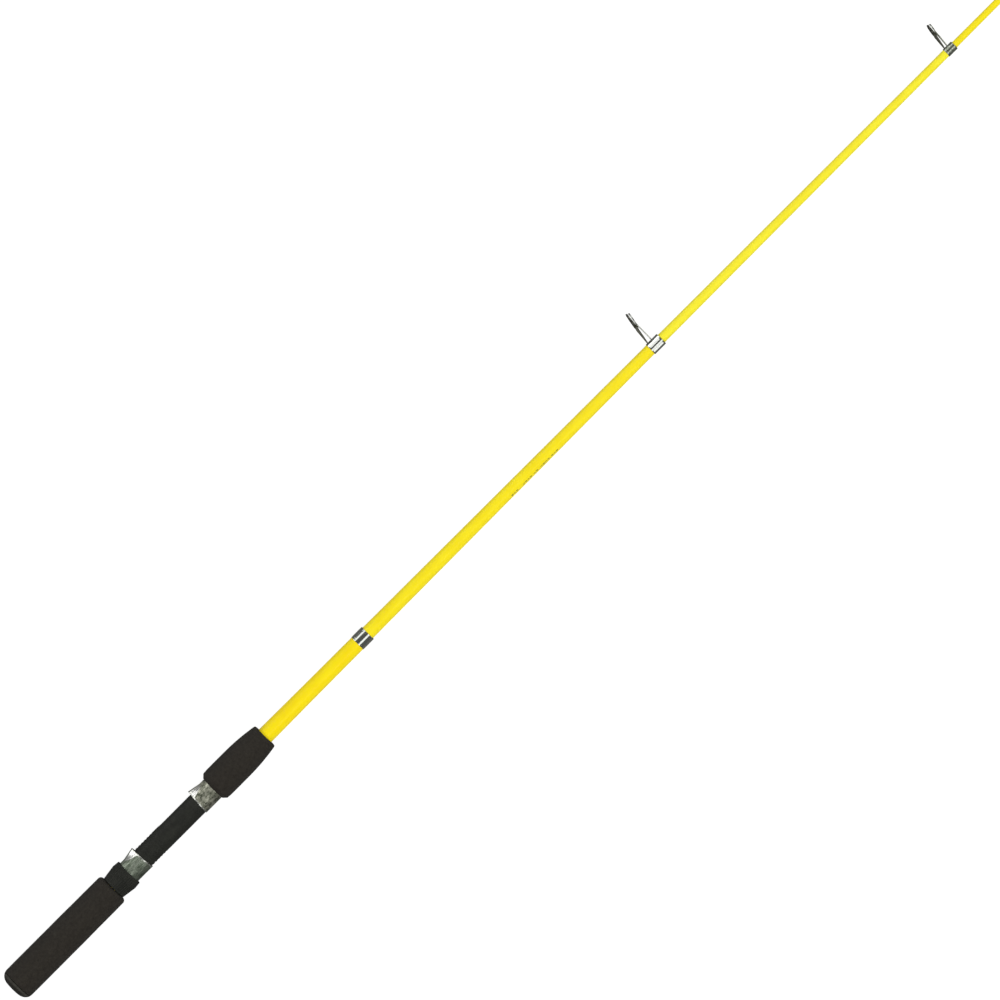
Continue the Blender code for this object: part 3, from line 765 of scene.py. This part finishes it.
def make_collar(name, node, body, seat, throat, material, grooves=()):
    """Chromed collar with rounded edges, a lip that narrows to the throat, and shallow grooves at the
    stations that are given."""
    low, high = span(node)
    edge, lip = 0.3, 0.5
    half_width, half_floor, depth = 0.25, 0.12, 0.14
    corners = [(low.x, seat), (low.x, high.y, edge)]
    for station in grooves:
        corners += [(station - half_width, high.y, 0.1), (station - half_floor, high.y - depth, 0.05),
                    (station + half_floor, high.y - depth, 0.05), (station + half_width, high.y, 0.1)]
    corners += [(high.x, high.y, edge), (high.x, throat, 0.1), (high.x - lip, throat), (high.x - lip, seat)]
    mesh = make_mesh(name, turned(densified(filleted(corners, 4), 1.0)))
    piece(name, mesh, body, "chrome", material, node)


def guide_centre(section):
    low, high = span(f"{section.guide}_ring")
    return (low + high) / 2.0


def ring_back(section):
    """Rear face of a guide's ring, measured from the middle of its frame's plate."""
    return min(RING_BACK, section.hole_radius / 2.0)


def make_ring(section, material, highlight_band_material):
    """Line ring: a smooth round bore between two flanges, with a pale band behind the frame as a painted
    highlight.
    """
    node = f"{section.guide}_ring"
    frame_radius = span(f"{section.guide}_frame")[1].z
    flange = (section.hole_radius + frame_radius) / 2.0 - 0.15
    groove = section.hole_radius - 0.15
    mouth = (flange + groove) / 2.0
    cheek = PLATE / 2.0 + 0.12
    back = ring_back(section)
    middle, half = (RING_FRONT + back) / 2.0, (back - RING_FRONT) / 2.0
    flare, bore_share = 0.45, 0.8
    corners = []
    for share in np.linspace(-1.0, 1.0, 9):
        bore = section.bore_radius + flare * (groove - section.bore_radius) * share ** 2
        corners.append((middle + bore_share * half * share, bore))
    corners += [(back, mouth, 0.5), (back - 0.25, flange, 0.3), (cheek, flange, 0.1),
                (cheek, groove), (-cheek, groove), (-cheek, flange, 0.1), (RING_FRONT + 0.1, flange, 0.2),
                (RING_FRONT, mouth, 0.4)]
    rows = placed(turned(filleted(corners, 4), AROUND_RING), guide_centre(section))
    piece(f"{node}_insert", make_mesh(f"{node}_insert", rows), section.name, "dark_ceramic", material, node)
    # The band is a painted highlight: a pale part that stands for the bright gap behind the frame.
    inner, outer = groove + 0.1, flange + 0.1
    band = [(cheek + 0.05, inner), (cheek + 0.05, outer, 0.1), (back - 0.15, outer, 0.15),
            (back - 0.15, inner)]
    rows = placed(turned(filleted(band, 4), AROUND_RING), guide_centre(section))
    piece(f"{node}_band", make_mesh(f"{node}_band", rows), section.name, "chrome", highlight_band_material)


def frame_outline(angles, radius, stem, foot_half):
    """Distance from the ring's centre to the frame's edge. Angles start at the stem's foot. The edge
    is the ring's circle, then straight sides down to the foot."""
    smallest = 1e-6
    from_stem = np.minimum(angles, FULL_TURN - angles)
    shoulder = np.array((radius * cos(STEM_SPREAD), radius * sin(STEM_SPREAD)))
    foot = np.array((stem, foot_half))
    run = foot - shoulder
    side = shoulder[1] * run[0] - shoulder[0] * run[1]
    side = side / np.maximum(np.sin(from_stem) * run[0] - np.cos(from_stem) * run[1], smallest)
    base = stem / np.maximum(np.cos(from_stem), smallest)
    return np.where(from_stem >= STEM_SPREAD, radius, np.minimum(side, base))


def make_guide_frame(section, material):
    """Pressed frame: a holder round the ring and one stem. It is flat towards the butt, and its side
    walls are deepest under the ring and run out towards the ring's top and the foot. A guide's stem bends
    under the ring, and the tip-top's short one is straight."""
    node = f"{section.guide}_frame"
    _, high = span(node)
    _, collar_high = span(collar_node(section))
    centre = guide_centre(section)
    radius = high.z
    sunk = 0.15
    stem = (centre.y - collar_high.y + sunk) / cos(LEAN)
    even = np.arange(AROUND_FRAME) * FULL_TURN / AROUND_FRAME
    corner = atan2(STEM_HALF_WIDTH, stem)
    angles = np.sort(np.concatenate((even, [corner, FULL_TURN - corner])))
    up, across = -np.cos(angles), np.sin(angles)
    edge = frame_outline(angles, radius, stem, STEM_HALF_WIDTH)
    inner = frame_outline(angles, radius - WALL, stem - WALL, STEM_HALF_WIDTH - WALL)
    hole = np.full_like(angles, section.hole_radius)
    height = edge * up / radius
    deepest = 0.95  # how far under the ring's centre the walls are deepest, as a share of the radius
    above = np.clip((height + deepest) / (2.0 * deepest), 0.0, 1.0)
    below = np.clip((-height - deepest) / (stem / radius - deepest), 0.0, 1.0)
    front = PLATE / 2.0
    full_depth_radius, rounding = 5.5, 0.8
    depth = WALL_DEPTH * min(1.0, radius / full_depth_radius)
    back = front + depth * (1.0 - above ** rounding) * (1.0 - below) ** rounding
    bent = 0.0 if section.guide == "tip_top" else 1.0
    bend_start, step_run = 0.9 * radius, 1.8

    def loop(offset, reach):
        """Points round the frame at an offset along the ring's axis."""
        under = np.maximum(-reach * up - bend_start, 0.0)
        bend = under * tan(LEAN - STEM_LEAN) - STEM_STEP * np.clip(under / step_run, 0.0, 1.0)
        return np.stack((offset + bent * bend, reach * up, reach * across), axis=1)

    rows = [loop(-front, hole), loop(front * 0.4, hole), loop(front * 0.4, inner),
            loop(back - 0.06, inner + 0.04), loop(back, inner + 0.15), loop(back, edge - 0.12),
            loop(back - 0.12, edge), loop(0.12 - front, edge), loop(-front, edge - 0.12)]
    mesh = make_mesh(f"{node}_pressed", placed(rows, centre))
    piece(f"{node}_pressed", mesh, section.name, "chrome", material, node, sharp=30.0)


def make_brace(section, material):
    """Wire brace: a loop behind the ring, held by two legs from the middle of the collar."""
    node = f"{section.guide}_brace"
    collar_low, collar_high = span(collar_node(section))
    centre = guide_centre(section)
    loop_radius = (section.hole_radius + span(f"{section.guide}_frame")[1].z) / 2.0 - 0.35
    behind = ring_back(section) + BRACE_WIRE - 0.08
    turn = Matrix.Rotation(-LEAN, 3, "Z")
    ring_axis = turn @ Vector((1.0, 0.0, 0.0))

    def on_loop(angle):
        point = Vector((behind, -loop_radius * cos(angle), loop_radius * sin(angle)))
        return turn @ point + centre

    foot = Vector(((collar_low.x + collar_high.x) / 2.0, collar_high.y - 0.1, 0.0))
    foot_half = 1.1
    bm = bmesh.new()
    loop = [on_loop(FULL_TURN * step / AROUND_BRACE) for step in range(AROUND_BRACE)]
    add_wire(bm, loop, BRACE_WIRE, ring_axis, closed=True)
    for side in (-1.0, 1.0):
        start = foot + Vector((0.0, 0.0, side * foot_half))
        end = on_loop(side * BRACE_SPREAD)
        middle = (start + end) / 2.0 + Vector((0.25, 0.0, side * 0.6))
        leg = []
        for share in np.linspace(0.0, 1.0, 17):
            leg.append(start.lerp(middle, share).lerp(middle.lerp(end, share), share))
        add_wire(bm, leg, BRACE_WIRE, Vector((0.0, 0.0, 1.0)))
    mesh = bpy.data.meshes.new(f"{node}_wires")
    bm.to_mesh(mesh)
    bm.free()
    piece(f"{node}_wires", mesh, section.name, "chrome", material, node)


def add_wire(bm, points, radius, reference, closed=False):
    """A round wire along the points, which are in millimetres: a closed loop, or with flat ends that are
    a little thinner. The reference is a direction that the wire never follows."""
    count, sides = len(points), 16
    end_size = 0.75
    rings = []
    for index, point in enumerate(points):
        ahead = points[(index + 1) % count] if closed else points[min(index + 1, count - 1)]
        behind = points[index - 1] if closed else points[max(index - 1, 0)]
        along = (ahead - behind).normalized()
        across = along.cross(reference).normalized()
        up = across.cross(along)
        size = radius * (1.0 if closed or 0 < index < count - 1 else end_size)
        ring = []
        for step in range(sides):
            angle = FULL_TURN * step / sides
            ring.append(bm.verts.new((point + (across * cos(angle) + up * sin(angle)) * size) * MM))
        rings.append(ring)
    for ring, following in zip(rings, rings[1:] + (rings[:1] if closed else [])):
        for step in range(sides):
            after = (step + 1) % sides
            bm.faces.new((ring[step], ring[after], following[after], following[step]))
    if not closed:
        bm.faces.new(rings[0])
        bm.faces.new(rings[-1])


def make_print(material):
    """Rows of short plain dashes round the lower side of section 2, with no lettering."""
    section = SECTIONS[0]
    collar_start = span("guide_1_collar")[0].x
    groups = ((547.0, 3), (559.5, 4), (571.5, 2), (579.0, 4), (591.0, 3))  # first station, dashes
    dash, gap = 2.0, 0.6
    middle, height = radians(139.0), radians(12.0)
    across = 5
    bm = bmesh.new()
    for start, count in groups:
        for index in range(count):
            x = start + index * (dash + gap)
            reach = height * (1.0 if (index + count) % 2 else 0.6)
            corners = []
            for lift in (-0.05, 0.02):
                for station in (x, x + dash):
                    radius = section.radius(station, collar_start) + lift
                    for share in np.linspace(-0.5, 0.5, across):
                        angle = middle + share * reach
                        point = Vector((station, radius * cos(angle), radius * sin(angle)))
                        corners.append(bm.verts.new(point * MM))
            close_patch(bm, corners, across)
    mesh = bpy.data.meshes.new("section_2_print")
    bm.to_mesh(mesh)
    bm.free()
    piece("section_2_print", mesh, "section_2", "black_plastic", material)


def close_patch(bm, corners, count):
    """Faces of a thin curved patch, from its four rows of corners: two below and two above."""
    below_a, below_b, above_a, above_b = (corners[index * count:(index + 1) * count] for index in range(4))
    for step in range(count - 1):
        bm.faces.new((below_a[step], below_a[step + 1], below_b[step + 1], below_b[step]))
        bm.faces.new((above_a[step], above_b[step], above_b[step + 1], above_a[step + 1]))
        bm.faces.new((below_a[step], above_a[step], above_a[step + 1], below_a[step + 1]))
        bm.faces.new((below_b[step], below_b[step + 1], above_b[step + 1], above_b[step]))
    bm.faces.new((below_a[0], below_b[0], above_b[0], above_a[0]))
    bm.faces.new((below_a[-1], above_a[-1], above_b[-1], below_b[-1]))


def repaint(node, material):
    """Gives a node of the frame that stays, hidden inside the handle, its own material."""
    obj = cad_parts[node]
    obj.data.materials.clear()
    obj.data.materials.append(material)


# Setting

def make_floor():
    """Pale table that glows, as a light table does, so that shadows on it stay faint. It lights the rod
    more from its -Y half, and reflections see only what it throws back of the lamps' light."""
    white = (1.0, 1.0, 1.0, 1.0)
    surface = Surface("pale_floor", Base_Color=(0.2, 0.2, 0.2, 1.0), Roughness=0.9, Specular_IOR_Level=0.0)
    surface.shader.inputs["Emission Color"].default_value = white
    surface.material.cycles.emission_sampling = "NONE"
    path = surface.add("ShaderNodeLightPath")
    dim, bright, seen = 0.95, 1.25, 0.9
    thrown = surface.ramp(surface.along("Y"), (dim, bright), -0.005, -0.03)
    strength = surface.add("ShaderNodeMix")
    surface.link(path.outputs["Is Camera Ray"], strength.inputs[SHARE])
    surface.link(surface.product(path.outputs["Is Diffuse Ray"], thrown), strength.inputs[NUMBER_A])
    strength.inputs[NUMBER_B].default_value = seen
    surface.paint(strength.outputs[NUMBER_MIX], "Emission Strength")
    mesh = bpy.data.meshes.new("floor")
    size, gap = 60.0, 0.0002
    height = cad_box[0].z - gap
    mesh.from_pydata([(-size, -size, height), (size, -size, height), (size, size, height),
                      (-size, size, height)], [], [(0, 1, 2, 3)])
    mesh.materials.append(surface.material)
    floor = bpy.data.objects.new("floor", mesh)
    bpy.context.collection.objects.link(floor)


def make_box(name, elevation, width, distance, radiance, length=5.0, middle=0.85):
    """Softbox along the rod, with its middle at that station. The elevation is in degrees from +Y
    towards +Z."""
    tilt = radians(elevation)
    light = bpy.data.lights.new(name, "AREA")
    light.shape = "RECTANGLE"
    light.size = length
    light.size_y = width
    light.energy = radiance * pi * length * width
    lamp = bpy.data.objects.new(name, light)
    bpy.context.collection.objects.link(lamp)
    lamp.location = Vector((middle, cos(tilt) * distance, sin(tilt) * distance))
    lamp.rotation_euler = (tilt - pi / 2.0, 0.0, 0.0)
    lamp.visible_camera = False
    return lamp


def make_lights():
    """Two strips longer than the rod and five short boxes, which only reflections see, a broad fill that
    reflections don't see, and a dim world that the camera sees as white."""
    boxes = (make_box("strip_upper", 38.0, 0.62, 1.6, 1.9),
             make_box("strip_lower", 118.5, 0.70, 1.6, 1.9),
             make_box("collar_low_box", 158.0, 1.4, 1.5, 2.4, length=0.14, middle=0.715),
             make_box("collar_high_box", 64.0, 0.88, 1.6, 2.4, length=0.14, middle=0.715),
             make_box("hood_box", 15.0, 0.70, 1.6, 2.6, length=0.13, middle=0.180),
             make_box("fixed_hood_box", 16.0, 0.80, 1.6, 2.6, length=0.50, middle=0.800),
             make_box("sliding_hood_box", 16.0, 0.80, 1.6, 2.6, length=0.60, middle=-0.400))
    for box in boxes:
        box.visible_diffuse = False
    fill = make_box("fill", 94.0, 3.0, 2.6, 2.25)
    fill.visible_glossy = False
    dim, white = (0.15, 0.155, 0.145, 1.0), (1.0, 1.0, 1.0, 1.0)
    world = bpy.data.worlds.new("studio")
    world.use_nodes = True
    bpy.context.scene.world = world
    tree = world.node_tree
    background = tree.nodes["Background"]
    path = tree.nodes.new("ShaderNodeLightPath")
    mix = tree.nodes.new("ShaderNodeMix")
    mix.data_type = "RGBA"
    mix.inputs[COLOUR_A].default_value = dim
    mix.inputs[COLOUR_B].default_value = white
    tree.links.new(path.outputs["Is Camera Ray"], mix.inputs[SHARE])
    tree.links.new(mix.outputs[COLOUR_MIX], background.inputs["Color"])


def make_camera():
    """Straight down on the rod as it lies, turned so that it runs from the lower left to beyond the
    upper right corner of the view."""
    centre_x, centre_y, height = 0.5383, 0.0002, 6.0
    width_seen = 0.78
    heading = radians(45.07)
    camera = bpy.data.cameras.new("camera")
    camera.sensor_width = 36.0
    camera.lens = camera.sensor_width * height / width_seen
    camera.clip_end = 200.0
    obj = bpy.data.objects.new("camera", camera)
    bpy.context.collection.objects.link(obj)
    obj.location = (centre_x, centre_y, height)
    obj.rotation_euler = (0.0, 0.0, -heading)
    bpy.context.scene.camera = obj
    bpy.context.scene.view_settings.view_transform = "Standard"


def make_rod():
    black_foam, grey_foam, plastic = foam(), inner_foam(), moulded_plastic()
    plate = chrome("bright_chrome", (0.40, 0.42, 0.39), (0.52, 0.53, 0.50), (0.10, 0.20))
    # A darker, rougher copy of the bright plating: painted shade for the collars and braces of the guides
    # past the first.
    rough_shaded_plate = chrome("rough_chrome_painted_shade", (0.17, 0.19, 0.14), (0.50, 0.52, 0.46), (0.28, 0.42))
    # Frames: chrome whose dark base colour paints the dark reflection of their sides.
    dark_plate = chrome("chrome_painted_dark_reflection", (0.045, 0.046, 0.036), (0.105, 0.105, 0.088), (0.30, 0.46))
    ring_ceramic, band = ceramic(), highlight_band()
    yellows = [lacquer(f"lacquer_section_{index}", *colours) for index, colours in enumerate(LACQUERS, 1)]
    make_butt_cap(painted_highlight_cap())
    make_rear_grip(black_foam)
    make_foregrip(black_foam)
    make_rattle_pad(grey_foam)
    make_barrel(plastic)
    # Paler plating of the hoods' mouth bead: a painted highlight along the rim.
    rim = chrome("rim_steel_painted_highlight", (0.36, 0.37, 0.33), (0.72, 0.72, 0.68), (0.30, 0.45))
    make_hood("sliding_hood", "sliding_hood", 1.0,
              pressed_steel("sliding_hood_steel", (0.085, 0.105, 0.075), (0.36, 0.40, 0.33), 4.0), rim)
    make_hood("fixed_hood", "handle", -1.0,
              pressed_steel("fixed_hood_steel", (0.085, 0.093, 0.065), (0.56, 0.56, 0.46), 1.4), rim)
    make_nut(plastic)
    make_handle_blank(yellows[0])
    seat_gap, throat_gap = 0.05, 0.15
    ferrule_low, ferrule_high = span("section_1_ferrule")
    make_collar("section_1_band", "section_1_ferrule", "handle", HANDLE_BLANK[-1][1] + seat_gap,
                SECTIONS[0].exposed_radius + throat_gap, plate, (ferrule_low.x + 1.3, ferrule_high.x - 1.6))
    for section, following, yellow in zip(SECTIONS, SECTIONS[1:] + (None,), yellows[1:]):
        # Guide 1 takes the bright plating, and the guides beyond it take the shaded copy.
        plating = plate if section.guide == "guide_1" else rough_shaded_plate
        make_section_tube(section, following, yellow)
        throat = following.exposed_radius + throat_gap if following else section.tip_radius / 2.0
        make_collar(f"{section.guide}_band", collar_node(section), section.name,
                    section.tip_radius + seat_gap, throat, plating)
        make_guide_frame(section, dark_plate)
        make_ring(section, ring_ceramic, band)
        if section.guide != "tip_top":
            make_brace(section, plating)
    make_print(ink())
    repaint("rear_arbor", grey_foam)
    repaint("front_arbor", grey_foam)
    repaint("butt_bushing", plastic)


make_rod()
make_floor()
make_lights()
make_camera()
